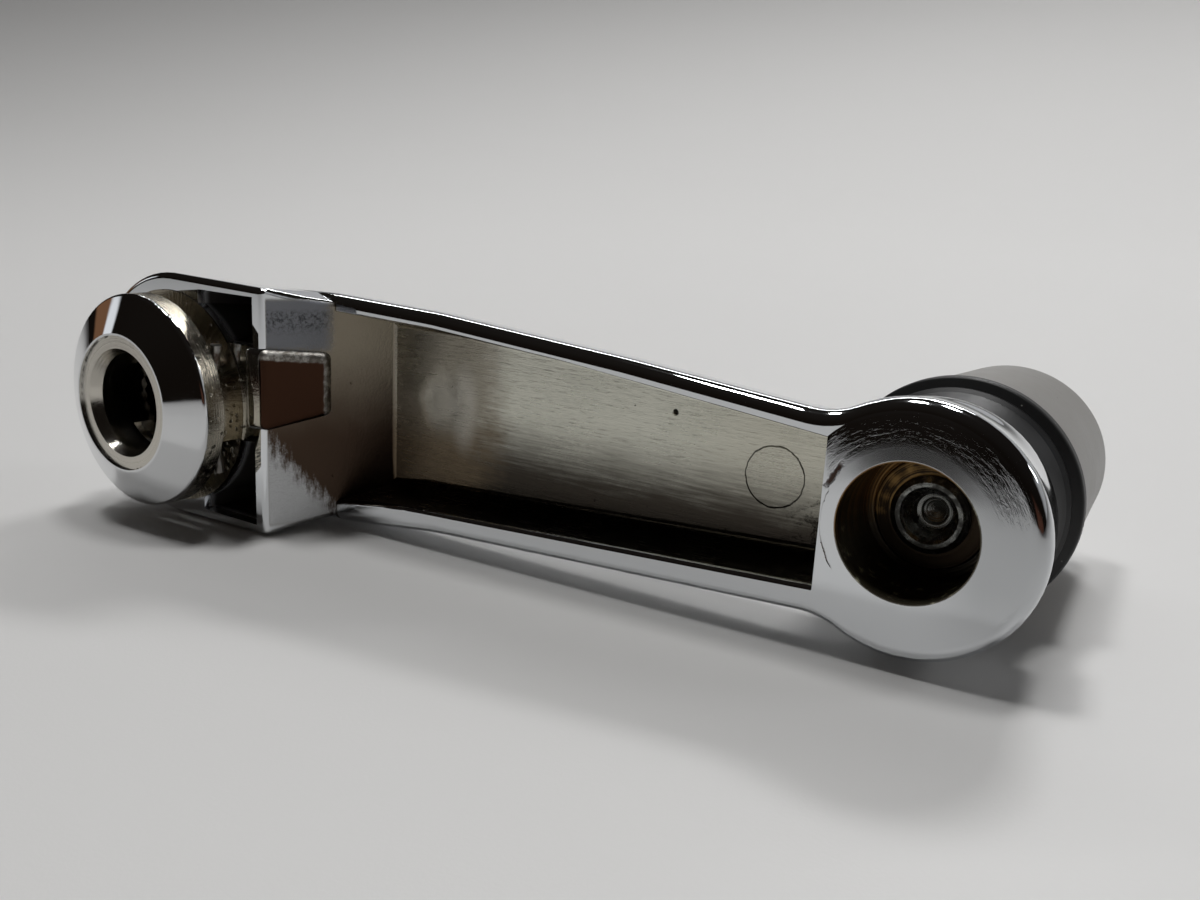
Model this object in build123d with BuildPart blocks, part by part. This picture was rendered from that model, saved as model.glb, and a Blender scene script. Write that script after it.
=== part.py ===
# Window crank handle: a chrome-plated die casting with a splined hub and a turning knob.
#
# X runs from the spindle axis to the knob axis, Y along the spindle away from the door, Z is up.
# The origin is on the spindle axis, where the straight bore begins inside the nose.
import os
from math import radians, tan
from build123d import *

# Driving dimensions
crank_radius = 100.0      # spindle axis to knob axis
bore_radius = 6.5
bush_radius = 9.0
nose_radius = 14.3
skirt_radius = 17.0
hub_radius = 15.4
boss_radius = 13.55
grip_radius = 13.0

# Stations along Y, from the nose to the knob
lip_y = -1.8
bush_end_y = -1.4
cone_end_y = 0.7
slot_start_y = 3.5
slot_end_y = 6.3
skirt_y = 6.5
spline_y = 6.4
rim_y = 15.0
parting_y = 18.5
bush_bottom_y = 19.0
floor_y = 22.5
seat_y = 24.6
front_y = 24.7
collar_y = 25.1
spigot_y = 27.0
collar_top_y = 34.1
stud_head_y = 51.0
cap_y = 54.6
grip_end_y = 58.2

# Arm
# The arm's edges in back view, as X and Z: the upper one bows a little, the lower one waists
arm_upper = ((21.0, 15.9), (39.0, 15.25), (66.7, 13.1), (93.0, 10.5))
arm_lower = ((24.0, -15.6), (39.5, -13.75), (93.0, -11.0))
side_draft = 7.5
front_round = 6.0
rim_round = 1.5
channel_upper = ((14.0, 13.7), (39.0, 13.1), (58.6, 11.65), (91.2, 8.2))
channel_lower = ((14.0, -14.2), (25.0, -12.1), (33.0, -10.95), (91.2, -7.6))
channel_draft = 12
channel_floor_round = 0.6
bends = (16, 85)          # the arm's and the channel's edges bend between these X
arm_bend, channel_bend, neck_fillet = 50, 40, 8
channel_upper_round, channel_lower_round = 0.25, 0.6
mouth_middle = 5.0        # the mouth's long edges are further than this from the middle

# Hub block
rib_x = 18.1
skirt_rib_half_width, parting_rib_half_width = 16.5, 15.3
parting_step = 0.1        # the mould's parting line, proud of the plate
ramp_run = 0.51           # X gained for each millimetre of Y
skirt_round = 0.8
pocket_start_x, pocket_end_x, pocket_half_width = 5.8, 16.5, 15.2
pocket_depth, pocket_draft = 13.5, 7
web_z, web_width = 2.45, 12.7
block_outline = ((22.3, 14.7), (28.5, 13.6))     # beyond the rib, as X and half-width
pad_on_rib, pad_on_ramp, pad_root = 0.6, 1.2, 1.0  # height over each face, depth in the block
pad_start_x, pad_end_x, pad_end_y = 15.3, 22.9, 13.3
pad_top, pad_foot, pad_run = (-2.6, 9.0), (0.1, 7.9), (-3.0, 10.5)    # Z at each end, along the ramp
pad_round = 0.9

# Nose
lip_width = 0.27
neck_radius = 12.8
flange_radius = 14.6
slot_flat = 4.2           # from the axis to the flat that a clip leg lies on
spline_teeth, spline_depth = 24, 0.7
wire_radius = 0.7
mouth_flare = 0.75
# The clip's leg runs beside the bore, comes in to the slot's flat and turns out at its tip
clip_leg_end_x, clip_catch_x, clip_tip = 4.0, 10.6, (11.3, 8.6)
clip_tip_bend, clip_leg_bend, clip_bow_bend = 1.0, 3.0, 1.5

# Boss and stud
counterbore_radius = 7.1
spigot_radius = 8.5
boss_round = 1.0
rivet_radius = 2.6
stud_radius = 3.5
stud_end_radius = 4.15
# The spun-over end, as radius and height over the washer: a stepped hollow, then the rolled edge
stud_end_rings = (
    (0, -2.9), (0.35, -2.5), (1.3, -2.0), (1.45, -1.6), (1.85, -1.5), (2.0, -1.2), (2.2, -0.4),
    (2.75, 0.5), (3.05, 0.8), (3.5, 0.85), (stud_end_radius, 0.45),
)
stud_head_radius, stud_head_height, stud_head_chamfer = 5.5, 2.2, 0.6
washer_radius, washer_thickness, washer_chamfer = 6.0, 0.8, 0.15

# Knob
running_gap = 0.05
side_gap = 0.3
collar_neck_radius = 11.0
collar_radius = 13.4
flare_length, flare_swell = 5.9, 0.2
lip_step, lip_round = 1.5, 0.4
groove_width, groove_depth = 0.48, 1.1
grip_end_radius = 11.95
grip_end_bevel = (0.95, 0.6)  # in radius, along Y
knob_bush_radius = 5.2
head_recess_radius = 6.2
cap_radius, cap_crown = 8.2, 0.5

os.makedirs("parts", exist_ok=True)
knob_axis = Axis((crank_radius, 0, 0), (0, 1, 0))


def across(y):
    """The plane square to the spindle at y, with X and Z as its own axes."""
    return Plane.XZ.offset(-y)


def mirrored(upper):
    """A closed outline from its upper points, repeated below in reverse."""
    return upper + [(x, -z) for x, z in reversed(upper)]


def about_knob(profile):
    """A turned profile's points, given as radius and Y, moved to the knob's axis."""
    return [(crank_radius + radius, y) for radius, y in profile]


# Hub block: the skirt that reaches back to the door, cut off by the ramp
draft_slope = tan(radians(side_draft))
ramp_middle_x = rib_x + (rim_y - skirt_y) * ramp_run
parting_radius = hub_radius - (parting_y - rim_y) * draft_slope + parting_step
ramp = Plane(origin=(rib_x, skirt_y, 0), x_dir=(0, 0, 1), z_dir=(1, -ramp_run, 0))
with BuildPart() as hub_block:
    for y, radius, rib_half_width in (
        (skirt_y, skirt_radius, skirt_rib_half_width),
        (parting_y, parting_radius, parting_rib_half_width),
    ):
        with BuildSketch(across(y)):
            with BuildLine():
                Polyline(*mirrored([(0, radius), (rib_x, rib_half_width), *block_outline]))
                ThreePointArc((0, -radius), (-radius, 0), (0, radius))
            make_face()
    loft(ruled=True)
    split(bisect_by=ramp, keep=Keep.BOTTOM)
    ramp_face = hub_block.faces().sort_by_distance((ramp_middle_x, rim_y, 0))[0]
    ramp_sides = ramp_face.edges().filter_by(
        lambda edge: abs(edge.center().Z) > pocket_half_width / 2 and edge.center().Y < rim_y
    )
    back_edges = hub_block.faces().sort_by(Axis.Y)[0].edges()
    fillet([*back_edges, *ramp_sides], radius=skirt_round)

# Pad: raised over the rib's corner and down the ramp, drawn in side view
ramp_rise = pad_on_ramp * (1 + ramp_run**2) ** 0.5     # along X, from the ramp to the pad's face
with BuildPart() as pad:
    with BuildSketch(Plane.XY):
        with BuildLine():
            Polyline(
                (pad_start_x, skirt_y + pad_root),
                (pad_start_x, skirt_y - pad_on_rib),
                (rib_x + ramp_rise - ramp_run * pad_on_rib, skirt_y - pad_on_rib),
                (pad_end_x, pad_end_y),
                (pad_end_x - pad_root, pad_end_y + 2 * pad_on_ramp),
                (rib_x - pad_root / 2, skirt_y + 2 * pad_root),
                close=True,
            )
        make_face()
    extrude(amount=skirt_radius, both=True)
    with BuildSketch(ramp):
        with BuildLine():
            Polyline(
                (pad_top[0], -pad_run[0]),
                (pad_top[1], -pad_run[0]),
                (pad_foot[1], -pad_run[1]),
                (pad_foot[0], -pad_run[1]),
                close=True,
            )
        make_face()
    extrude(amount=skirt_radius, both=True, mode=Mode.INTERSECT)
    fillet(pad.edges(), radius=pad_round)

# Channel: the hollow in the arm's back, with drafted walls and the ramp as its hub end
with BuildPart() as channel:
    with BuildSketch(across(rim_y)) as channel_outline:
        with BuildLine():
            Polyline(
                *channel_upper,
                *reversed(channel_lower),
                close=True,
            )
        make_face()
        fillet(channel_outline.vertices().filter_by_position(Axis.X, *bends), radius=channel_bend)
    extrude(amount=rim_y - floor_y, taper=channel_draft)
    split(bisect_by=ramp, keep=Keep.TOP)
    fillet(channel.faces().sort_by(Axis.Y)[-1].edges(), radius=channel_floor_round)

with BuildPart() as arm:
    # Plate: hub end, tapering arm, waisted neck and boss in one outline
    with BuildSketch(across(rim_y)) as outline:
        Circle(hub_radius)
        with BuildLine():
            Polyline(
                (0, hub_radius), *arm_upper, *reversed(arm_lower), (0, -hub_radius),
                close=True,
            )
        make_face()
        with Locations((crank_radius, 0)):
            Circle(boss_radius)
        fillet(outline.vertices().filter_by_position(Axis.X, *bends), radius=arm_bend)
        fillet(outline.vertices().filter_by_position(Axis.X, bends[1], crank_radius), radius=neck_fillet)
    extrude(amount=rim_y - front_y, taper=side_draft)
    fillet(arm.faces().sort_by(Axis.Y)[-1].edges(), radius=front_round)
    fillet(arm.faces().sort_by(Axis.Y)[0].edges(), radius=rim_round)

    # Boss: its front stays square to the knob, with a spigot inside the collar
    with BuildSketch(Plane.XY) as boss:
        with BuildLine():
            Polyline(
                *about_knob(
                    [
                        (0, parting_y),
                        (boss_radius - (parting_y - rim_y) * draft_slope, parting_y),
                        (boss_radius - (front_y - rim_y) * draft_slope, front_y),
                        (spigot_radius, front_y),
                        (spigot_radius, spigot_y),
                        (0, spigot_y),
                    ]
                ),
                close=True,
            )
        make_face()
        front_corner = (crank_radius + boss_radius, front_y, 0)
        fillet(boss.vertices().sort_by_distance(front_corner)[0], radius=boss_round)
    revolve(axis=knob_axis)
    add(channel.part, mode=Mode.SUBTRACT)
    for side, radius in ((1, channel_upper_round), (-1, channel_lower_round)):
        mouth = arm.faces().sort_by(Axis.Y)[0].inner_wires()[0].edges()
        fillet(mouth.filter_by(lambda edge: side * edge.center().Z > mouth_middle), radius=radius)
    add(hub_block.part)

    # Counterbore from the back, with the rivet hole through its floor
    with BuildSketch(across(rim_y)):
        with Locations((crank_radius, 0)):
            Circle(counterbore_radius)
    extrude(amount=rim_y - seat_y, mode=Mode.SUBTRACT)
    with BuildSketch(across(seat_y)):
        with Locations((crank_radius, 0)):
            Circle(rivet_radius)
    extrude(amount=seat_y - spigot_y, mode=Mode.SUBTRACT)

    # Corner pockets either side of the web that ties the flange to the rib
    with BuildSketch(across(skirt_y)):
        with Locations(((pocket_start_x + pocket_end_x) / 2, 0)):
            Rectangle(pocket_end_x - pocket_start_x, 2 * pocket_half_width)
        Circle(flange_radius, mode=Mode.SUBTRACT)
        with Locations((pocket_end_x, web_z)):
            Rectangle(pocket_end_x, web_width, mode=Mode.SUBTRACT)
    extrude(amount=-pocket_depth, taper=pocket_draft, mode=Mode.SUBTRACT)

    # Socket for the spindle bush
    with BuildSketch(across(skirt_y)):
        Circle(bush_radius)
    extrude(amount=skirt_y - bush_bottom_y, mode=Mode.SUBTRACT)
    add(pad.part)

arm.part.label = "arm"
export_step(arm.part, "parts/arm.step")

# Slots: what is cut away either side of the neck for the clip's legs, down to a flat each
with BuildPart() as clip_slots:
    with BuildSketch(across(slot_start_y)):
        with GridLocations(0, 2 * slot_flat + skirt_radius, 1, 2):
            Rectangle(2 * skirt_radius, skirt_radius)
    extrude(amount=slot_start_y - slot_end_y)

# Hub nose: chrome cone, flank, neck and flange, seated on the hub block and held by the bush
with BuildPart() as hub_nose:
    with BuildSketch(Plane.XY) as nose:
        with BuildLine():
            Polyline(
                (bush_radius, lip_y),
                (bush_radius + lip_width, lip_y),
                (nose_radius, cone_end_y),
                (nose_radius, slot_start_y),
                (neck_radius, slot_start_y),
                (neck_radius, slot_end_y),
                (flange_radius, slot_end_y),
                (flange_radius, skirt_y),
                (bush_radius, skirt_y),
                close=True,
            )
        make_face()
        fillet(nose.vertices().sort_by_distance((nose_radius, cone_end_y, 0))[0], radius=0.6)
    revolve(axis=Axis.Y)
    add(clip_slots.part, mode=Mode.SUBTRACT)

hub_nose.part.label = "hub_nose"
export_step(hub_nose.part, "parts/hub_nose.step")

# Spindle bush: lead-in cone, short straight bore, then the spline
with BuildPart() as spindle_bush:
    with BuildSketch(Plane.XY):
        with BuildLine():
            Polyline(
                (0, bush_bottom_y),
                (0, spline_y),
                (bore_radius, spline_y),
                (bore_radius, 0),
                (bore_radius + mouth_flare, bush_end_y),
                (bush_radius, bush_end_y),
                (bush_radius, bush_bottom_y),
                close=True,
            )
        make_face()
    revolve(axis=Axis.Y)
    with BuildSketch(across(spline_y)):
        Circle(bore_radius - spline_depth)
        with PolarLocations(bore_radius - spline_depth, spline_teeth):
            RegularPolygon(spline_depth, 4)
    extrude(amount=spline_y - bush_bottom_y, mode=Mode.SUBTRACT)
    add(clip_slots.part, mode=Mode.SUBTRACT)

spindle_bush.part.label = "spindle_bush"
export_step(spindle_bush.part, "parts/spindle_bush.step")

# Retaining clip: spring wire, sprung open round the spindle and caught on each slot's flat
leg_z = bore_radius + wire_radius + running_gap
catch_z = slot_flat + wire_radius
bow_x = -(neck_radius + wire_radius + running_gap)
half_clip = [(bow_x, leg_z), (clip_leg_end_x, leg_z), (clip_catch_x, catch_z), clip_tip]
half_bends = [clip_tip_bend, clip_leg_bend, clip_bow_bend]
with BuildPart() as retaining_clip:
    with BuildLine(across((slot_start_y + slot_end_y) / 2)) as wire:
        FilletPolyline(
            *[(x, z) for x, z in reversed(half_clip)],
            *[(x, -z) for x, z in half_clip],
            radius=half_bends + half_bends[::-1],
        )
    with BuildSketch(Plane(origin=wire.line @ 0, z_dir=wire.line % 0)):
        Circle(wire_radius)
    sweep()

retaining_clip.part.label = "retaining_clip"
export_step(retaining_clip.part, "parts/retaining_clip.step")

# Knob stud: shouldered rivet with a turned, spun-over end in the counterbore
washer_y = seat_y - washer_thickness
with BuildPart() as knob_stud:
    with BuildSketch(Plane.XY):
        with BuildLine():
            Polyline(
                *about_knob(
                    [
                        *[(radius, washer_y - height) for radius, height in stud_end_rings],
                        (stud_end_radius, washer_y),
                        (rivet_radius, washer_y),
                        (rivet_radius, spigot_y),
                        (stud_radius, spigot_y),
                        (stud_radius, stud_head_y),
                        (stud_head_radius, stud_head_y),
                        (stud_head_radius, stud_head_y + stud_head_height),
                        (0, stud_head_y + stud_head_height),
                    ]
                ),
                close=True,
            )
        make_face()
    revolve(axis=knob_axis)
    head_face = knob_stud.faces().sort_by(Axis.Y)[-1]
    chamfer(head_face.edges(), length=stud_head_chamfer)

knob_stud.part.label = "knob_stud"
export_step(knob_stud.part, "parts/knob_stud.step")

with BuildPart() as stud_washer:
    with BuildSketch(across(washer_y)):
        with Locations((crank_radius, 0)):
            Circle(washer_radius)
            Circle(rivet_radius, mode=Mode.SUBTRACT)
    extrude(amount=-washer_thickness)
    rim_edges = stud_washer.edges().filter_by(GeomType.CIRCLE).group_by(SortBy.RADIUS)[-1]
    chamfer(rim_edges, length=washer_chamfer)

stud_washer.part.label = "stud_washer"
export_step(stud_washer.part, "parts/stud_washer.step")

# Knob collar: flared base with a grooved lip, recessed for the boss's spigot
with BuildPart() as knob_collar:
    with BuildSketch(Plane.XY) as section:
        with BuildLine():
            recess_radius = spigot_radius + side_gap
            recess_y = spigot_y + side_gap
            waist = (collar_neck_radius + flare_swell, collar_y + flare_length / 2)
            flare_end = (collar_radius - lip_step, collar_y + flare_length)
            Polyline(
                *about_knob(
                    [
                        flare_end,
                        (collar_radius - groove_depth, flare_end[1] + groove_width),
                        (collar_radius - groove_depth, flare_end[1] + 2 * groove_width),
                        (collar_radius, flare_end[1] + 3 * groove_width),
                        (collar_radius, collar_top_y),
                        (knob_bush_radius, collar_top_y),
                        (knob_bush_radius, recess_y),
                        (recess_radius, recess_y),
                        (recess_radius, collar_y),
                        (collar_neck_radius, collar_y),
                    ]
                )
            )
            ThreePointArc(*about_knob([(collar_neck_radius, collar_y), waist, flare_end]))
        make_face()
        lip = section.vertices().group_by(Axis.X)[-1]
        fillet(lip, radius=lip_round)
    revolve(axis=knob_axis)

knob_collar.part.label = "knob_collar"
export_step(knob_collar.part, "parts/knob_collar.step")

# Knob bush: the bearing that runs on the stud
with BuildPart() as knob_bush:
    with BuildSketch(across(spigot_y + side_gap)):
        with Locations((crank_radius, 0)):
            Circle(knob_bush_radius)
            Circle(stud_radius + running_gap, mode=Mode.SUBTRACT)
    extrude(amount=-(stud_head_y - spigot_y - 2 * side_gap))

knob_bush.part.label = "knob_bush"
export_step(knob_bush.part, "parts/knob_bush.step")

# Knob grip: tapered sleeve with a rounded end, recessed for the stud's head and the cap
with BuildPart() as knob_grip:
    with BuildSketch(Plane.XY) as section:
        with BuildLine():
            bush_top_y = stud_head_y - side_gap
            Polyline(
                *about_knob(
                    [
                        (knob_bush_radius, collar_top_y),
                        (grip_radius, collar_top_y),
                        (grip_end_radius, grip_end_y - grip_end_bevel[1]),
                        (grip_end_radius - grip_end_bevel[0], grip_end_y),
                        (cap_radius, grip_end_y),
                        (cap_radius, cap_y),
                        (head_recess_radius, cap_y),
                        (head_recess_radius, bush_top_y),
                        (knob_bush_radius, bush_top_y),
                    ]
                ),
                close=True,
            )
        make_face()
    revolve(axis=knob_axis)

knob_grip.part.label = "knob_grip"
export_step(knob_grip.part, "parts/knob_grip.step")

# Knob cap: shallow dome that closes the grip over the stud's head
with BuildPart() as knob_cap:
    with BuildSketch(Plane.XY):
        with BuildLine():
            rim, apex = about_knob([(cap_radius, grip_end_y - cap_crown), (0, grip_end_y)])
            TangentArc(apex, rim, tangent=(1, 0))
            Polyline(rim, *about_knob([(cap_radius, cap_y), (0, cap_y)]), apex)
        make_face()
    revolve(axis=knob_axis)

knob_cap.part.label = "knob_cap"
export_step(knob_cap.part, "parts/knob_cap.step")
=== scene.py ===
import bpy
import bmesh
import math
from mathutils import Matrix, Vector

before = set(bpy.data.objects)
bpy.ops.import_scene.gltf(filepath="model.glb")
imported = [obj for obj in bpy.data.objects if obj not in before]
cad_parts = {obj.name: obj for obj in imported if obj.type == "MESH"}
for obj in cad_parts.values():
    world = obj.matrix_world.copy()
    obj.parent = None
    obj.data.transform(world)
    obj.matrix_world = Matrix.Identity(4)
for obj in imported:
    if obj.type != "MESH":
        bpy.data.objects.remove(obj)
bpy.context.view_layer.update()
print("frame loaded,", len(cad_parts), "nodes")

mm = 0.001


def maths(operation, flipped=False):
    def apply(self, other):
        pair = (other, self) if flipped else (self, other)
        return self.finish.math(operation, *pair)
    return apply


class Wire:  # one output of a node, which adds Math nodes when it is used in an expression
    def __init__(self, finish, socket):
        self.finish, self.socket = finish, socket

    __add__, __radd__ = maths("ADD"), maths("ADD")
    __sub__, __rsub__ = maths("SUBTRACT"), maths("SUBTRACT", True)
    __mul__, __rmul__ = maths("MULTIPLY"), maths("MULTIPLY")
    __pow__, __rpow__ = maths("POWER"), maths("POWER", True)
    least, most = maths("MINIMUM"), maths("MAXIMUM")

    def __abs__(self):
        return self.finish.math("ABSOLUTE", self)

    def output(self, name):
        return Wire(self.finish, self.socket.node.outputs[name])


class Finish:  # a material under construction, with its place on the object in millimetres
    def __init__(self, name, library=bpy.data.materials):
        self.material = library.new(name)
        self.material.use_nodes = True
        self.tree = self.material.node_tree
        self.tree.nodes.clear()
        where = self.node("ShaderNodeTexCoord", out="Object")
        self.place = self.node("ShaderNodeVectorMath", {"operation": "SCALE"},
                               {0: where, "Scale": 1 / mm})
        self.x, self.y, self.z = self.split(self.place)

    def node(self, kind, settings=None, inputs=None, out=0):
        made = self.tree.nodes.new(kind)
        for key, value in (settings or {}).items():
            setattr(made, key, value)
        for key, value in (inputs or {}).items():
            socket = made.inputs[key]
            if isinstance(value, Wire):
                self.tree.links.new(value.socket, socket)
            elif isinstance(value, tuple) and socket.type == "RGBA":
                socket.default_value = (*value, 1)
            else:
                socket.default_value = value
        return Wire(self, made.outputs[out]) if made.outputs else None

    def math(self, operation, *values):
        return self.node("ShaderNodeMath", {"operation": operation}, dict(enumerate(values)))

    def split(self, vector):
        parts = self.node("ShaderNodeSeparateXYZ", {}, {0: vector})
        return parts, parts.output("Y"), parts.output("Z")

    def join(self, a, b=0.0, c=0.0):
        return self.node("ShaderNodeCombineXYZ", {}, {0: a, 1: b, 2: c})

    def soft(self, value, low, high):  # 0 at low, 1 at high, eased between
        return self.node("ShaderNodeMapRange", {"interpolation_type": "SMOOTHSTEP"},
                         {"Value": value, "From Min": low, "From Max": high})

    def ridge(self, value, centre, width):  # 1 on the centre, 0 beyond the width
        return 1 - self.soft(abs(value - centre), 0.0, width)

    def mix(self, mask, low, high):  # colours
        return self.node("ShaderNodeMix", {"data_type": "RGBA"}, {0: mask, 6: low, 7: high}, 2)

    def between(self, mask, low, high):  # numbers
        return self.node("ShaderNodeMix", {}, {0: mask, 2: low, 3: high})

    def stretched(self, x, y, z, turn=(0, 0, 0)):
        return self.node("ShaderNodeMapping", {},
                         {"Vector": self.place, "Scale": (x, y, z), "Rotation": turn})

    def noise(self, size, detail=3.0, rough=0.55, place=None, warp=0.0):  # size of its lumps in mm
        return self.node("ShaderNodeTexNoise", {},
                         {"Vector": place or self.place, "Scale": 1 / size, "Detail": detail,
                          "Roughness": rough, "Distortion": warp})

    def cells(self, size, place=None):  # distance to scattered points, in cells
        return self.node("ShaderNodeTexVoronoi", {},
                         {"Vector": place or self.place, "Scale": 1 / size})

    def radius(self, a, b, centreA=0.0, centreB=0.0):
        across, along = a - centreA, b - centreB
        return (across * across + along * along) ** 0.5

    def bump(self, height):  # height in mm
        return self.node("ShaderNodeBump", {}, {"Height": height, "Distance": mm, "Strength": 1.0})

    def surface(self, **inputs):
        named = {key.replace("_", " "): value for key, value in inputs.items()}
        shader = self.node("ShaderNodeBsdfPrincipled", {}, named)
        self.node("ShaderNodeOutputMaterial", {}, {"Surface": shader})
        return self.material


# chrome casting: places and radii in mm, X along the arm, Y away from the door, Z up
casting = {
    "chrome": (0.78, 0.80, 0.82),
    "chromeRoughness": 0.035,
    "paintedBossShade": (0.22, 0.225, 0.23),        # painted shade over the outer side of the boss's back face

    "satin": (0.74, 0.735, 0.64),        # the channel's plate, high up and away from the hub end
    "rubbed": (0.60, 0.55, 0.43),        # towards the boss
    "lowShadeAndScratches": (0.055, 0.047, 0.038),       # painted shade low down on the channel's plate, also the colour of its scratches
    "brown": (0.17, 0.13, 0.085),        # painted shade beside the ramp, at the channel's hub end
    "channelWallShade": (0.05, 0.042, 0.034),        # painted shade on the channel's walls
    "satinRoughness": 0.26,
    "rimY": 15.0,
    "floorY": 22.5,
    "bossWallX": 91.25,
    "ejector": (82.9, 1.0, 3.5),         # X, Z and radius of the pin's mark
    "oldEjector": (34.9, 1.9, 4.3),
    "oldMark": (0.50, 0.49, 0.44),
    "smear": (0.60, 0.59, 0.54),
    "pit": (70.0, 6.3),

    "rampBase": (18.1, 6.5, 0.51),       # X, Y and X gained for each mm of Y
    "blast": (0.30, 0.31, 0.335),        # the ramp's blasted end
    "blackened": (0.05, 0.05, 0.055),
    # painted shade on the ramp, from rampLow at the bottom to rampHigh higher up
    "rampLow": (0.07, 0.046, 0.032),
    "rampHigh": (0.27, 0.235, 0.18),
    # painted reflection of the floor on the ramp's low corner
    "rampCornerReflection": (0.62, 0.63, 0.64),
    "burnt": (0.042, 0.020, 0.012),      # the pad's face
    "padDark": (0.22, 0.20, 0.175),      # the pad's edges: worn, and lighter than its face as a painted highlight of their rounding
    "padBright": (0.58, 0.56, 0.52),
    # painted shade: the hub's pockets near black
    "pocketShade": (0.03, 0.026, 0.022),

    "boss": (100.0, 7.1),                # X of the knob's axis, radius of the counterbore
    "bossBackY": 15.0,
    "rust": (0.26, 0.15, 0.055),         # inside the counterbore
    "rustDark": (0.06, 0.035, 0.018),
    "olive": (0.10, 0.085, 0.055),
    "straw": (0.72, 0.70, 0.50),
    "chip": (92.3, 4.6, 0.55),           # X and Z of the chip in the plating, and its slope
    "bared": (0.06, 0.03, 0.02),         # metal in the chip and the crack
    "soot": (0.02, 0.016, 0.012),
}


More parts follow.
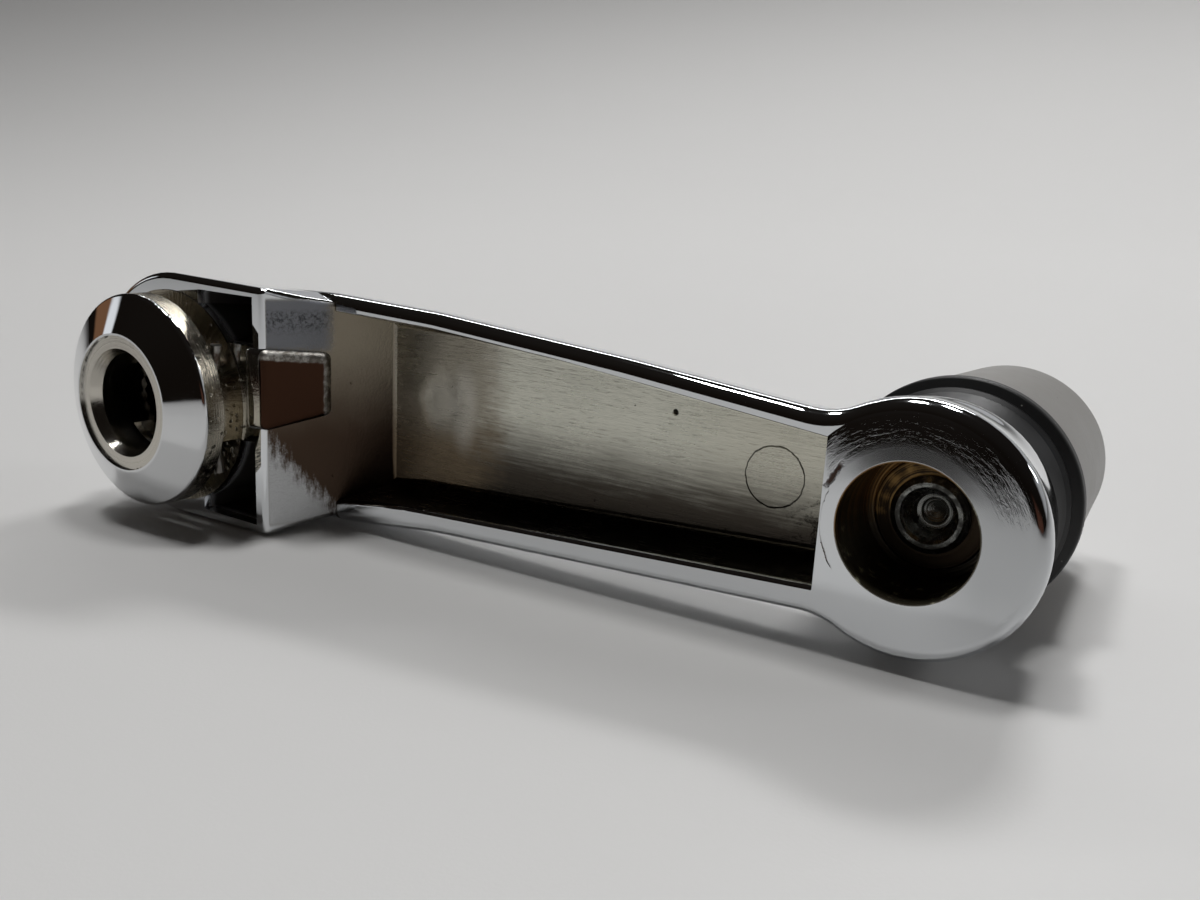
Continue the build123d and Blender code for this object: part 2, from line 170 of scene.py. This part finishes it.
def castingFinish(sizes):
    f = Finish("chromeCasting")
    x, y, z = f.x, f.y, f.z
    side = abs(z)
    baseX, baseY, run = sizes["rampBase"]
    rimY, floorY, wallX, backY = (sizes[k] for k in ("rimY", "floorY", "bossWallX", "bossBackY"))
    rampGap = x - (baseX + (y - baseY) * run)
    bossX, boreRadius = sizes["boss"]
    bossRadius = f.radius(x, z, bossX)
    hubRadius = f.radius(x, z)

    # masks, 1 on their part of the casting; the channel's mouth is 7.6 to 13.7 mm from the middle
    mouth = 13.9 - (x - 14.0) * 0.071
    beyondRamp = f.soft(rampGap, -0.3, -0.1) * (1 - f.soft(x, wallX + 0.1, wallX + 0.25)) \
        * (1 - f.soft(y, floorY + 0.5, floorY + 0.9))
    inChannel = beyondRamp * f.soft(y, rimY + 0.3, rimY + 0.7) \
        * (1 - f.soft(side - mouth, 0.3, 0.5))
    onFloor = inChannel * f.soft(y, floorY - 0.5, floorY - 0.05)
    onWall = inChannel * (1 - f.soft(y, floorY - 0.8, floorY - 0.3)) \
        * (1 - f.soft(abs(rampGap), 0.0, 0.4))
    onRamp = (1 - f.soft(abs(rampGap), 0.15, 0.35)) * f.soft(y, 6.9, 7.2) \
        * (1 - f.soft(y, 22.0, 22.6)) * (1 - f.soft(side, 14.6, 15.4))
    inPad = f.soft(rampGap, 0.35, 0.6) * (1 - f.soft(rampGap, 1.5, 1.7)) \
        * (1 - f.soft(y, 14.8, 15.0)) * f.soft(z, -3.2, -2.9) * (1 - f.soft(z, 9.0, 9.3))
    padTop = 9.0 - (y - 3.8) * 0.09
    padEdge = (padTop - z).least(14.2 - y) + (f.noise(0.9) - 0.5) * 0.5
    padFace = f.soft(padEdge, 1.15, 1.5) * inPad
    inPocket = f.soft(x, 5.2, 5.6) * (1 - f.soft(rampGap, -1.5, -1.0)) * f.soft(y, 6.8, 8.2) \
        * (1 - f.soft(side, 14.9, 15.15)) * f.soft(hubRadius, 9.3, 9.6) \
        * (1 - f.soft(y, 21.0, 21.5))
    inBore = (1 - f.soft(bossRadius, boreRadius + 0.05, boreRadius + 0.2)) \
        * (1 - f.soft(y, 24.62, 24.68))
    onBossBack = f.soft(x, 91.0, 92.0) * (1 - f.soft(y, backY + 0.6, backY + 1.5))

    # the channel's plate: rubbed along the arm, with painted shade beside the ramp and low down
    streaks = f.noise(0.35, 4, 0.6, f.stretched(0.05, 1, 1, (0, 0.10, 0)))
    scratches = f.noise(0.16, 3, 0.55, f.stretched(0.10, 1, 1, (0, 0.30, 0)))
    grain = f.noise(0.25, 4, 0.7)
    blotch = f.noise(8, 4, 0.6)
    # painted shade: brown at the hub end beside the ramp, and darker low down
    hubEnd = 1 - f.soft(x + (blotch - 0.5) * 12 + (streaks - 0.5) * 5, 40.0, 46.5)
    upward = z + (blotch - 0.5) * 3 + (streaks - 0.5) * 5 - (x - 60) * 0.015
    rise = f.soft(upward, -5.4, 4.2)
    plate = f.mix(rise, sizes["lowShadeAndScratches"], sizes["satin"])
    plate = f.mix(hubEnd * (0.9 - rise * 0.25), plate, sizes["brown"])
    plate = f.mix(f.soft(x, 66, 84) * rise * 0.3, plate, sizes["rubbed"])
    marked = f.soft(scratches, 0.56, 0.70) * (1 - f.soft(x, 70, 86) * 0.6)
    plate = f.mix(marked * 0.35, plate, sizes["lowShadeAndScratches"])
    pitting = 1 - f.soft(f.cells(3.4), 0.022, 0.05)
    # painted shade, in patches, towards the channel's lower corner by the boss
    corner = f.soft(x, 82, 90) * f.soft(f.noise(1.3, 4, 0.7, warp=0.4), 0.50, 0.62) \
        * f.soft(0 - z, -3, 4)
    plate = f.mix((pitting + corner * 0.5).least(1.0) * 0.8, plate, sizes["soot"])

    # ejector pins' marks and a pit on the floor
    ringX, ringZ, ringRadius = sizes["ejector"]
    fromRing = f.radius(x, z, ringX, ringZ) + (f.noise(1.1, 2) - 0.5) * 0.35
    ring = f.ridge(fromRing, ringRadius, 0.11) * onFloor
    plateau = (1 - f.soft(fromRing, ringRadius - 0.25, ringRadius)) * onFloor
    oldX, oldZ, oldRadius = sizes["oldEjector"]
    fromOld = f.radius(x - oldX, (z - oldZ) * 0.8) + (f.noise(4.0, 2) - 0.5) * 1.6
    oldMark = (1 - f.soft(fromOld, oldRadius * 0.35, oldRadius)) * onFloor
    fromSmear = f.radius((x - oldX - 3.6) * 0.8, (z - oldZ) * 0.32)
    smear = (1 - f.soft(fromSmear, 0.8, 2.4)) * onFloor
    pit = (1 - f.soft(f.radius(x, z, *sizes["pit"]), 0.18, 0.42)) * onFloor
    plate = f.mix(ring * 0.8, plate, sizes["soot"])
    plate = f.mix(oldMark * 0.45, plate, sizes["oldMark"])
    plate = f.mix(smear * 0.4, plate, sizes["smear"])
    plate = f.mix(pit, plate, sizes["soot"])
    # painted shade: the channel's walls nearly black
    plate = f.mix(onWall * 0.92, plate, sizes["channelWallShade"])

    # the ramp: blasted grey over its upper end; painted shade makes it brown and darker down to
    # the plate, and a painted reflection of the floor makes it bright at its low corner
    blasted = (1 - f.soft(x + (grain - 0.5) * 1.2, 21.6, 22.6)) \
        * f.soft(z + (grain - 0.5) * 3, 7.6, 9.2)
    # painted shade: the ramp darker and browner towards the bottom
    tan = f.mix(f.soft(z + (blotch - 0.5) * 5, -4.0, 10.0), sizes["rampLow"], sizes["rampHigh"])
    drips = f.noise(0.8, 4, 0.7, f.stretched(1, 1, 0.3))
    # painted reflection of the floor: the ramp bright at its low corner
    downward = (18.9 - x) * 2.6 - z + (drips - 0.5) * 9.0 + (grain - 0.5) * 3.0
    lowCorner = f.soft(downward, 3.2, 7.4)
    ramp = f.mix(blasted, tan, sizes["blast"])
    ramp = f.mix(lowCorner, ramp, sizes["rampCornerReflection"])
    blackened = f.soft(z, 9.8, 12.2) * (1 - f.soft(z, 13.0, 14.0)) * blasted \
        * f.soft(f.noise(0.45, 4, 0.7), 0.40, 0.66)
    ramp = f.mix(blackened * 0.8, ramp, sizes["blackened"])
    # the pad's edges: worn metal, lighter than the face as a painted highlight
    edgeWearAndHighlight = f.mix(f.soft(f.noise(1.0, 4, 0.65), 0.40, 0.62), sizes["padDark"], sizes["padBright"])
    pad = f.mix(padFace, edgeWearAndHighlight, sizes["burnt"])

    # the counterbore under the stud's end: painted light, brown where its wall is lit above;
    # painted shade at the bottom left, olive mottled and darker deeper in
    turned = f.noise(0.34, 3, 0.6, f.join(bossRadius, y * 0.8))
    rust = f.mix(f.soft(turned, 0.38, 0.62), sizes["rust"], sizes["rustDark"])
    # painted light: 1 on the counterbore's lit upper left wall
    paintedLitSide = f.soft((bossX - x) * 0.6 + z + (f.noise(2.2, 4, 0.65) - 0.5) * 4, 0.0, 5.5)
    mottled = f.soft(f.noise(1.7, 3, 0.6), 0.55, 0.72) * (1 - f.soft(y, 20.0, 23.0))
    tarnishAndShade = f.mix(paintedLitSide, f.mix(mottled * 0.8, sizes["olive"], sizes["straw"]), rust)

    # the boss's back face: a crown round the upper half, where the plating has fine wrinkles
    upper = f.soft(z + (f.noise(3, 2) - 0.5) * 3, -1.0, 5.0) * onBossBack
    outward = bossRadius.least(12.1)
    beyond = (outward - 8.5).most(0.0)
    crown = ((outward - 7.0).most(0.0) * 0.12 + beyond * beyond * 0.035) \
        * f.soft(x, 88.0, 95.5) * f.soft(z, -2.0, 6.0) \
        * (1 - f.soft(x, 105.0, 114.0)) * (1 - f.soft(y, 16.5, 25.0))
    around = f.math("ARCTAN2", z, x - bossX)
    sag = f.join(around * 4.5, bossRadius * 2.0, y * 0.5)
    peel = f.noise(0.6, 4, 0.66, sag, 0.7)
    wrinkled = upper * f.soft(bossRadius, 8.2, 10.2) * (1 - f.soft(bossRadius, 11.6, 12.3))

    # a chip and a crack beside the channel's end
    chipX, chipZ, slope = sizes["chip"]
    away = x - chipX + (z - chipZ) * -slope
    along = (x - chipX) * slope + (z - chipZ)
    ragged = (f.noise(0.7, 3, 0.7) - 0.5) * 0.5
    chip = (1 - f.soft(abs(away + ragged * 1.6) * 2.0, 0.3, 0.8)) \
        * (1 - f.soft(abs(along + ragged * 2), 1.2, 2.2)) * (1 - f.soft(y, backY + 0.6, backY + 1))
    crack = f.ridge(bossRadius + (f.noise(1.8) - 0.5) * 0.5, 8.7, 0.1) * onBossBack \
        * (1 - f.soft(x, 93.4, 94.2)) * f.soft(z, -5.5, -4.5) * (1 - f.soft(z, 2.0, 3.5))

    dull = (inChannel + onRamp + inPad).least(1.0)
    smudge = f.noise(11, 4, 0.6)
    colour = f.mix(dull, sizes["chrome"], plate)
    # painted shade: the boss's back face darker on its outer side, fading out towards the bottom
    paintedBossShade = onBossBack * f.soft(x - bossX + (smudge - 0.5) * 4, 1.0, 8.0) * f.soft(z, -13.0, -3.0)
    colour = f.mix(paintedBossShade * 0.42, colour, sizes["paintedBossShade"])
    colour = f.mix(onRamp, colour, ramp)
    colour = f.mix(inPad, colour, pad)
    # painted shade in the hub's pockets
    colour = f.mix(inPocket, colour, sizes["pocketShade"])
    colour = f.mix(inBore, colour, tarnishAndShade)
    colour = f.mix(chip.most(crack * 0.8), colour, sizes["bared"])
    seam = f.ridge(x, wallX, 0.12) * inChannel
    colour = f.mix(seam * 0.8, colour, sizes["soot"])

    rough = f.between(dull, sizes["chromeRoughness"] + f.soft(smudge, 0.45, 0.75) * 0.03,
                      sizes["satinRoughness"] + (blotch - 0.5) * 0.14 + (streaks - 0.5) * 0.12)
    rough = f.between(upper, rough, 0.19 - f.soft(bossRadius, 8.6, 10.2) * 0.12)
    rough = f.between(onRamp, rough, 0.24 + blasted * 0.2)
    rough = f.between(inPad, rough, 0.38)
    rough = f.between(padFace, rough, 0.10 + f.soft(grain, 0.4, 0.7) * 0.05)
    rough = f.between(inPocket, rough, 0.6)
    rough = f.between(inBore, rough, 0.38 + (turned - 0.5) * 0.2)

    wave = (f.noise(6.5, 1) - 0.5) * 0.012 + (f.noise(1.6, 2) - 0.5) * 0.0012
    texture = (streaks - 0.5) * 0.014 + (scratches - 0.5) * 0.010 + (grain - 0.5) * 0.006 \
        - pitting * 0.02
    coarse = (onRamp * blasted.most(lowCorner)).most(inPad - padFace)
    height = wave + dull * texture + coarse * (grain - 0.5) * 0.06
    height = height - crown + wrinkled * (peel - 0.5) * 0.04
    height = height - ring * 0.05 - oldMark * 0.10 + smear * 0.03 - pit * 0.2 \
        - corner * onFloor * 0.04
    height = height + plateau * (grain - 0.5) * 0.02 + inBore * (turned - 0.5) * 0.10 \
        - chip * 0.03 - crack * 0.04
    metal = 1 - (inPocket * 0.7).most(inBore * (1 - paintedLitSide) * 0.6).most(chip * 0.7)
    return f.surface(Base_Color=colour, Roughness=rough, Metallic=metal, Normal=f.bump(height))


# hub nose: a polished cone, then a flank where the nickel is torn and scored
nose = {
    "chrome": (0.70, 0.71, 0.72),
    "nickel": (0.58, 0.53, 0.43),
    "stain": (0.03, 0.024, 0.018),
    "neck": (0.20, 0.17, 0.12),
    "flankY": (0.95, 3.5),
    "flankRadius": 14.3,
    "coneRoughness": 0.03,
}


def noseFinish(sizes):
    f = Finish("noseChrome")
    x, y, z = f.x, f.y, f.z
    flankStart, flankEnd = sizes["flankY"]
    edge = (f.noise(1.1, 4, 0.7) - 0.5) * 0.9
    onFlank = f.soft(y + edge, flankStart, flankStart + 0.25)
    around = f.math("ARCTAN2", z, x) * sizes["flankRadius"]
    scores = f.noise(0.5, 4, 0.65, f.join(around, y * 0.5))
    pits = 1 - f.soft(f.cells(1.1) + (f.noise(0.6) - 0.5) * 0.3, 0.16, 0.30)
    patches = f.soft(f.noise(2.6, 4, 0.6), 0.46, 0.60)
    torn = (pits * patches * onFlank).least(1.0)
    inNeck = f.soft(y, flankEnd - 0.02, flankEnd + 0.02)
    lower = f.soft(0 - z + (f.noise(2.5) - 0.5) * 6, 3.0, 8.0)
    turned = f.noise(0.28, 3, 0.6, f.join(f.radius(x, z), y))

    colour = f.mix(onFlank, sizes["chrome"], sizes["nickel"])
    colour = f.mix(torn * 0.85, colour, sizes["stain"])
    colour = f.mix(onFlank * lower * f.soft(scores, 0.42, 0.6) * 0.8, colour, sizes["stain"])
    colour = f.mix(inNeck * 0.45, colour, sizes["neck"])
    rough = f.between(onFlank, sizes["coneRoughness"] + f.soft(f.noise(7), 0.5, 0.8) * 0.03,
                      0.20 + (scores - 0.5) * 0.25)
    marks = (scores - 0.5) * 0.05 - torn * 0.12 + (turned - 0.5) * 0.03
    height = (f.noise(5, 1) - 0.5) * 0.008 + onFlank * marks
    return f.surface(Base_Color=colour, Roughness=rough, Metallic=1 - torn * 0.4,
                     Normal=f.bump(height))


# spindle bush: a turned face with a burred edge, and painted shade down the bore
bush = {
    "nickel": (0.60, 0.57, 0.51),
    "burr": (0.05, 0.04, 0.03),
    "boreShade": (0.05, 0.045, 0.04),
    "faceY": -1.4,
    "burrRadius": (8.75, 8.95),
}


def bushFinish(sizes):
    f = Finish("nickelSteel")
    hub = f.radius(f.x, f.z)
    onFace = 1 - f.soft(f.y, sizes["faceY"] + 0.02, sizes["faceY"] + 0.1)
    turned = f.noise(0.22, 3, 0.6, f.join(hub, f.y))
    ragged = (f.noise(0.9, 4, 0.7) - 0.5) * 0.9
    burrs = (f.soft(hub + ragged, *sizes["burrRadius"])
             * f.soft(f.noise(3.2), 0.5, 0.62)).least(1.0)
    nicks = (1 - f.soft(f.cells(1.7), 0.08, 0.16)) * f.soft(f.noise(4.5, 2), 0.5, 0.6)
    # painted shade: darker down the bore
    boreShade = f.soft(f.y, 1.0, 9.0)
    colour = f.mix((burrs + nicks).least(1.0) * onFace, sizes["nickel"], sizes["burr"])
    colour = f.mix(boreShade * 0.92, colour, sizes["boreShade"])
    rough = f.between(onFace, 0.16, 0.24 + (turned - 0.5) * 0.2)
    height = (turned - 0.5) * 0.02 - burrs * onFace * 0.08 - nicks * onFace * 0.05 \
        + (f.noise(0.7, 4) - 0.5) * 0.02
    return f.surface(Base_Color=colour, Roughness=rough, Metallic=1.0, Normal=f.bump(height))


clip = {"steel": (0.30, 0.29, 0.27), "rust": (0.12, 0.075, 0.045), "roughness": 0.3}


def wireFinish(sizes):
    f = Finish("springSteel")
    rust = f.soft(f.noise(1.4, 4, 0.65), 0.48, 0.66)
    colour = f.mix(rust, sizes["steel"], sizes["rust"])
    return f.surface(Base_Color=colour, Roughness=sizes["roughness"] + rust * 0.3,
                     Metallic=1 - rust * 0.4, Normal=f.bump((f.noise(0.4) - 0.5) * 0.03))


stud = {
    "steel": (0.27, 0.275, 0.26),
    "oil": (0.02, 0.018, 0.015),
    "roughness": 0.22,
    "axisX": 100.0,
}


def studFinish(sizes):
    f = Finish("rivetSteel")
    fromAxis = f.radius(f.x, f.z, sizes["axisX"])
    rings = f.noise(0.16, 3, 0.65, f.join(fromAxis, f.y * 0.3))
    grime = f.soft(f.noise(1.3, 4, 0.65) + (fromAxis - 2.2) * 0.10, 0.46, 0.70)
    colour = f.mix(grime * 0.8, sizes["steel"], sizes["oil"])
    height = (rings - 0.5) * 0.05 + (f.noise(0.5) - 0.5) * 0.02
    return f.surface(Base_Color=colour, Roughness=sizes["roughness"] + grime * 0.2, Metallic=1.0,
                     Normal=f.bump(height))


washer = {
    "brass": (0.27, 0.165, 0.06),
    "tarnishAndShade": (0.03, 0.02, 0.012),
    "roughness": 0.34,
    "axisX": 100.0,
}


def washerFinish(sizes):
    f = Finish("washerBrass")
    fromAxis = f.radius(f.x, f.z, sizes["axisX"])
    rings = f.noise(0.4, 3, 0.6, f.join(fromAxis))
    # painted shade: the tarnish colour gathers on the washer's lower right, away from the light
    shaded = 1 - f.soft((sizes["axisX"] - f.x) * 0.6 + f.z, -2.0, 4.0)
    stain = f.soft(rings + (f.noise(1.6, 4) - 0.5) * 0.6 + shaded * 0.4, 0.40, 0.62)
    colour = f.mix(stain, sizes["brass"], sizes["tarnishAndShade"])
    return f.surface(Base_Color=colour, Roughness=sizes["roughness"], Metallic=0.9,
                     Normal=f.bump((rings - 0.5) * 0.08))


collar = {"black": (0.004, 0.004, 0.0045), "dust": (0.55, 0.55, 0.52), "roughness": 0.50}


def collarFinish(sizes):
    f = Finish("blackGloss")
    specks = 1 - f.soft(f.cells(1.5), 0.035, 0.07)
    threads = f.cells(2.6, f.stretched(1, 0.35, 1, (0.4, 0.2, 0.5)))
    lint = (1 - f.soft(threads, 0.03, 0.06)) * 0.6
    dust = (specks * f.soft(f.noise(4, 2), 0.48, 0.62) + lint).least(1.0)
    film = f.soft(f.noise(6, 4, 0.6), 0.5, 0.8)
    colour = f.mix(dust * 0.6, sizes["black"], sizes["dust"])
    rough = sizes["roughness"] + film * 0.14 + dust * 0.4
    return f.surface(Base_Color=colour, Roughness=rough, Metallic=0.0,
                     Normal=f.bump((f.noise(2.4, 2) - 0.5) * 0.012 + dust * 0.02))


grip = {  # the cap has the same finish
    "grey": (0.215, 0.205, 0.19),
    "shade": (0.165, 0.157, 0.145),
    "fleck": (0.04, 0.035, 0.03),
    "roughness": 0.33,
}


def gripFinish(sizes, name):
    f = Finish(name)
    cloud = f.soft(f.noise(7, 4, 0.55), 0.3, 0.7)
    flecks = (1 - f.soft(f.cells(2.2), 0.03, 0.06)) * f.soft(f.noise(5, 2), 0.45, 0.6)
    scuffs = f.soft(f.noise(0.5, 4, 0.6, f.stretched(0.2, 1.0, 0.2)), 0.58, 0.75)
    colour = f.mix(cloud, sizes["shade"], sizes["grey"])
    colour = f.mix(flecks * 0.9, colour, sizes["fleck"])
    rough = sizes["roughness"] + (cloud - 0.5) * 0.08 + scuffs * 0.08
    height = (f.noise(0.3, 3, 0.6) - 0.5) * 0.008 - flecks * 0.02 - scuffs * 0.002
    return f.surface(Base_Color=colour, Roughness=rough, Metallic=0.0, Normal=f.bump(height))


bearing = {"dark": (0.62, 0.58, 0.48), "pale": (0.72, 0.69, 0.60), "roughness": 0.42}


def bearingFinish(sizes):
    f = Finish("bearingPlastic")
    colour = f.mix(f.noise(3), sizes["dark"], sizes["pale"])
    return f.surface(Base_Color=colour, Roughness=sizes["roughness"], Metallic=0.0,
                     Normal=f.bump((f.noise(0.5, 2) - 0.5) * 0.01))


finishes = {
    "arm": castingFinish(casting),
    "hub_nose": noseFinish(nose),
    "spindle_bush": bushFinish(bush),
    "retaining_clip": wireFinish(clip),
    "knob_stud": studFinish(stud),
    "stud_washer": washerFinish(washer),
    "knob_collar": collarFinish(collar),
    "knob_grip": gripFinish(grip, "greyGrip"),
    "knob_cap": gripFinish(grip, "greyCap"),
    "knob_bush": bearingFinish(bearing),
}
for node, material in finishes.items():
    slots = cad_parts[node].data.materials
    slots.clear()
    slots.append(material)
print("materials:", len(finishes))


# paper floor in metres, laid under the three points that the handle rests on
paper = {
    "skirtLow": (0.0, 7.2, -16.86),      # these three in mm
    "lipLow": (100.0, 34.0, -13.4),
    "gripLow": (100.0, 57.6, -11.95),
    "centre": (0.05, 0.03),
    "gap": 0.00005,
    "flatRadius": 0.45,
    "dishRadius": 2.2,
    "dishHeight": 0.62,
    "foreground": 2.5,                   # how much further it reaches in front
    "bands": 40,
    "spokes": 96,
    "white": (0.70, 0.695, 0.685),
    "grey": (0.66, 0.655, 0.645),
}


def restingPlace(sizes):
    skirt, lip, end = (Vector(sizes[k]) * mm for k in ("skirtLow", "lipLow", "gripLow"))
    up = (lip - skirt).cross(end - skirt).normalized()
    if up.z < 0:
        up = -up
    centre = Vector((*sizes["centre"], 0))
    centre.z = skirt.z - (up.x * (centre.x - skirt.x) + up.y * (centre.y - skirt.y)) / up.z
    centre -= up * sizes["gap"]
    return Matrix.Translation(centre) @ up.to_track_quat("Z", "Y").to_matrix().to_4x4()


def dishPoint(sizes, band, spoke):  # flat round the object, swept up behind it
    outward = band / sizes["bands"]
    r = sizes["dishRadius"] * outward ** 1.3
    rise = max(0.0, (r - sizes["flatRadius"]) / (sizes["dishRadius"] - sizes["flatRadius"]))
    turn = 2 * math.pi * spoke / sizes["spokes"]
    behind = 0.5 + 0.5 * math.sin(turn)
    height = sizes["dishHeight"] * rise ** 2 * behind ** 2 * (3 - 2 * behind)
    spread = r * (1 + sizes["foreground"] * max(0.0, -math.sin(turn)) * outward)
    return Vector((spread * math.cos(turn), spread * math.sin(turn), height))


def paperFloor(sizes):
    lay = restingPlace(sizes)
    spokes = sizes["spokes"]
    dish = bmesh.new()
    rings = []
    for band in range(sizes["bands"] + 1):
        points = [lay @ dishPoint(sizes, band, k) for k in range(spokes if band else 1)]
        rings.append([dish.verts.new(point) for point in points])
    for inner, outer in zip(rings, rings[1:]):
        for k in range(spokes):
            after = (k + 1) % spokes
            if len(inner) == 1:
                dish.faces.new((inner[0], outer[k], outer[after]))
            else:
                dish.faces.new((inner[k], outer[k], outer[after], inner[after]))
    mesh = bpy.data.meshes.new("floor")
    dish.to_mesh(mesh)
    dish.free()
    mesh.polygons.foreach_set("use_smooth", [True] * len(mesh.polygons))
    f = Finish("palePaper")
    colour = f.mix(f.noise(120) * 0.25, sizes["white"], sizes["grey"])
    mesh.materials.append(f.surface(Base_Color=colour, Roughness=0.5,
                                    Normal=f.bump(f.noise(0.4, 2) * 0.01)))
    floor = bpy.data.objects.new("floor", mesh)
    bpy.context.scene.collection.objects.link(floor)
    return floor


paperFloor(paper)


# lamps: place, point aimed at, width, height, watts and colour
onObject = (0.05, 0.03, 0)
lamps = {
    "overheadSoftbox": ((0.12, 0.22, 1.50), onObject, 0.22, 0.22, 5.5, (1, 1, 1)),
    "leftSoftbox": ((-0.35, -0.06, 1.50), onObject, 0.26, 0.22, 6.5, (1, 1, 1)),
    "backSoftbox": ((-0.05, 1.20, 1.35), onObject, 0.45, 0.14, 7.0, (1, 1, 1)),
    "tubeSoftbox": ((-0.60, 1.15, 1.40), onObject, 2.1, 0.11, 6.0, (1, 1, 1)),
    "sideSoftbox": ((1.30, 0.70, 1.00), (0.08, 0.05, 0), 0.30, 0.30, 2.0, (0.97, 0.98, 1.0)),
}
for name, (place, aim, width, height, watts, colour) in lamps.items():
    lamp = bpy.data.lights.new(name, "AREA")
    lamp.shape, lamp.size, lamp.size_y = "RECTANGLE", width, height
    lamp.energy, lamp.color = watts, colour
    softbox = bpy.data.objects.new(name, lamp)
    softbox.location = place
    softbox.rotation_euler = (Vector(aim) - Vector(place)).to_track_quat("-Z", "Y").to_euler()
    bpy.context.scene.collection.objects.link(softbox)


# room: dark overhead and in front, a pale wall behind, timber and a window to the left
room = {
    "dark": (0.006, 0.0045, 0.0035),
    "overhead": (0.010, 0.0085, 0.0075),
    "wall": (0.40, 0.40, 0.405),
    "patches": {  # the way to its middle, then the cosines at its edge and where it is full
        "timber": ((-0.97, -0.19, 0.15), 0.985, 0.993, (0.17, 0.085, 0.045)),
        "window": ((-0.93, -0.33, 0.22), 0.9925, 0.9965, (0.85, 0.87, 0.90)),
        "brick": ((0.52, -0.84, 0.06), 0.93, 0.98, (0.07, 0.03, 0.02)),
    },
    "brickTop": (0.08, 0.24),
}


def roomLight(sizes):
    f = Finish("room", bpy.data.worlds)
    way = f.node("ShaderNodeTexCoord", out="Generated")
    x, y, z = f.split(way)
    behind = f.soft(x * 0.4 + y, 0.10, 0.42) * (1 - f.soft(z, 0.54, 0.66))
    colour = f.mix(f.soft(z, 0.1, 0.9), sizes["dark"], sizes["overhead"])
    colour = f.mix(behind, colour, sizes["wall"])
    for name, (towards, low, high, tint) in sizes["patches"].items():
        facing = f.node("ShaderNodeVectorMath", {"operation": "DOT_PRODUCT"},
                        {0: way, 1: tuple(Vector(towards).normalized())}, "Value")
        mask = f.soft(facing, low, high)
        if name == "brick":
            mask = mask * (1 - f.soft(z, *sizes["brickTop"]))
        colour = f.mix(mask, colour, tint)
    glow = f.node("ShaderNodeBackground", {}, {"Color": colour, "Strength": 1.0})
    f.node("ShaderNodeOutputWorld", {}, {"Surface": glow})
    return f.material


bpy.context.scene.world = roomLight(room)


view = {
    "place": (127.08, -85.15, 30.79),    # mm
    "right": (0.84033, 0.53937, 0.05411),
    "up": (-0.17175, 0.17023, 0.97032),
    "back": (0.51415, -0.82468, 0.23568),
    "lens": 32.08,
    "sensor": 36,
    "clip": (0.005, 20),
}
camera = bpy.data.objects.new("camera", bpy.data.cameras.new("camera"))
camera.data.lens, camera.data.sensor_width = view["lens"], view["sensor"]
camera.data.clip_start, camera.data.clip_end = view["clip"]
axes = Matrix([view["right"], view["up"], view["back"]]).transposed().to_4x4()
camera.matrix_world = Matrix.Translation(Vector(view["place"]) * mm) @ axes
bpy.context.scene.collection.objects.link(camera)
bpy.context.scene.camera = camera
bpy.context.scene.view_settings.view_transform = "Standard"
print("studio ready")
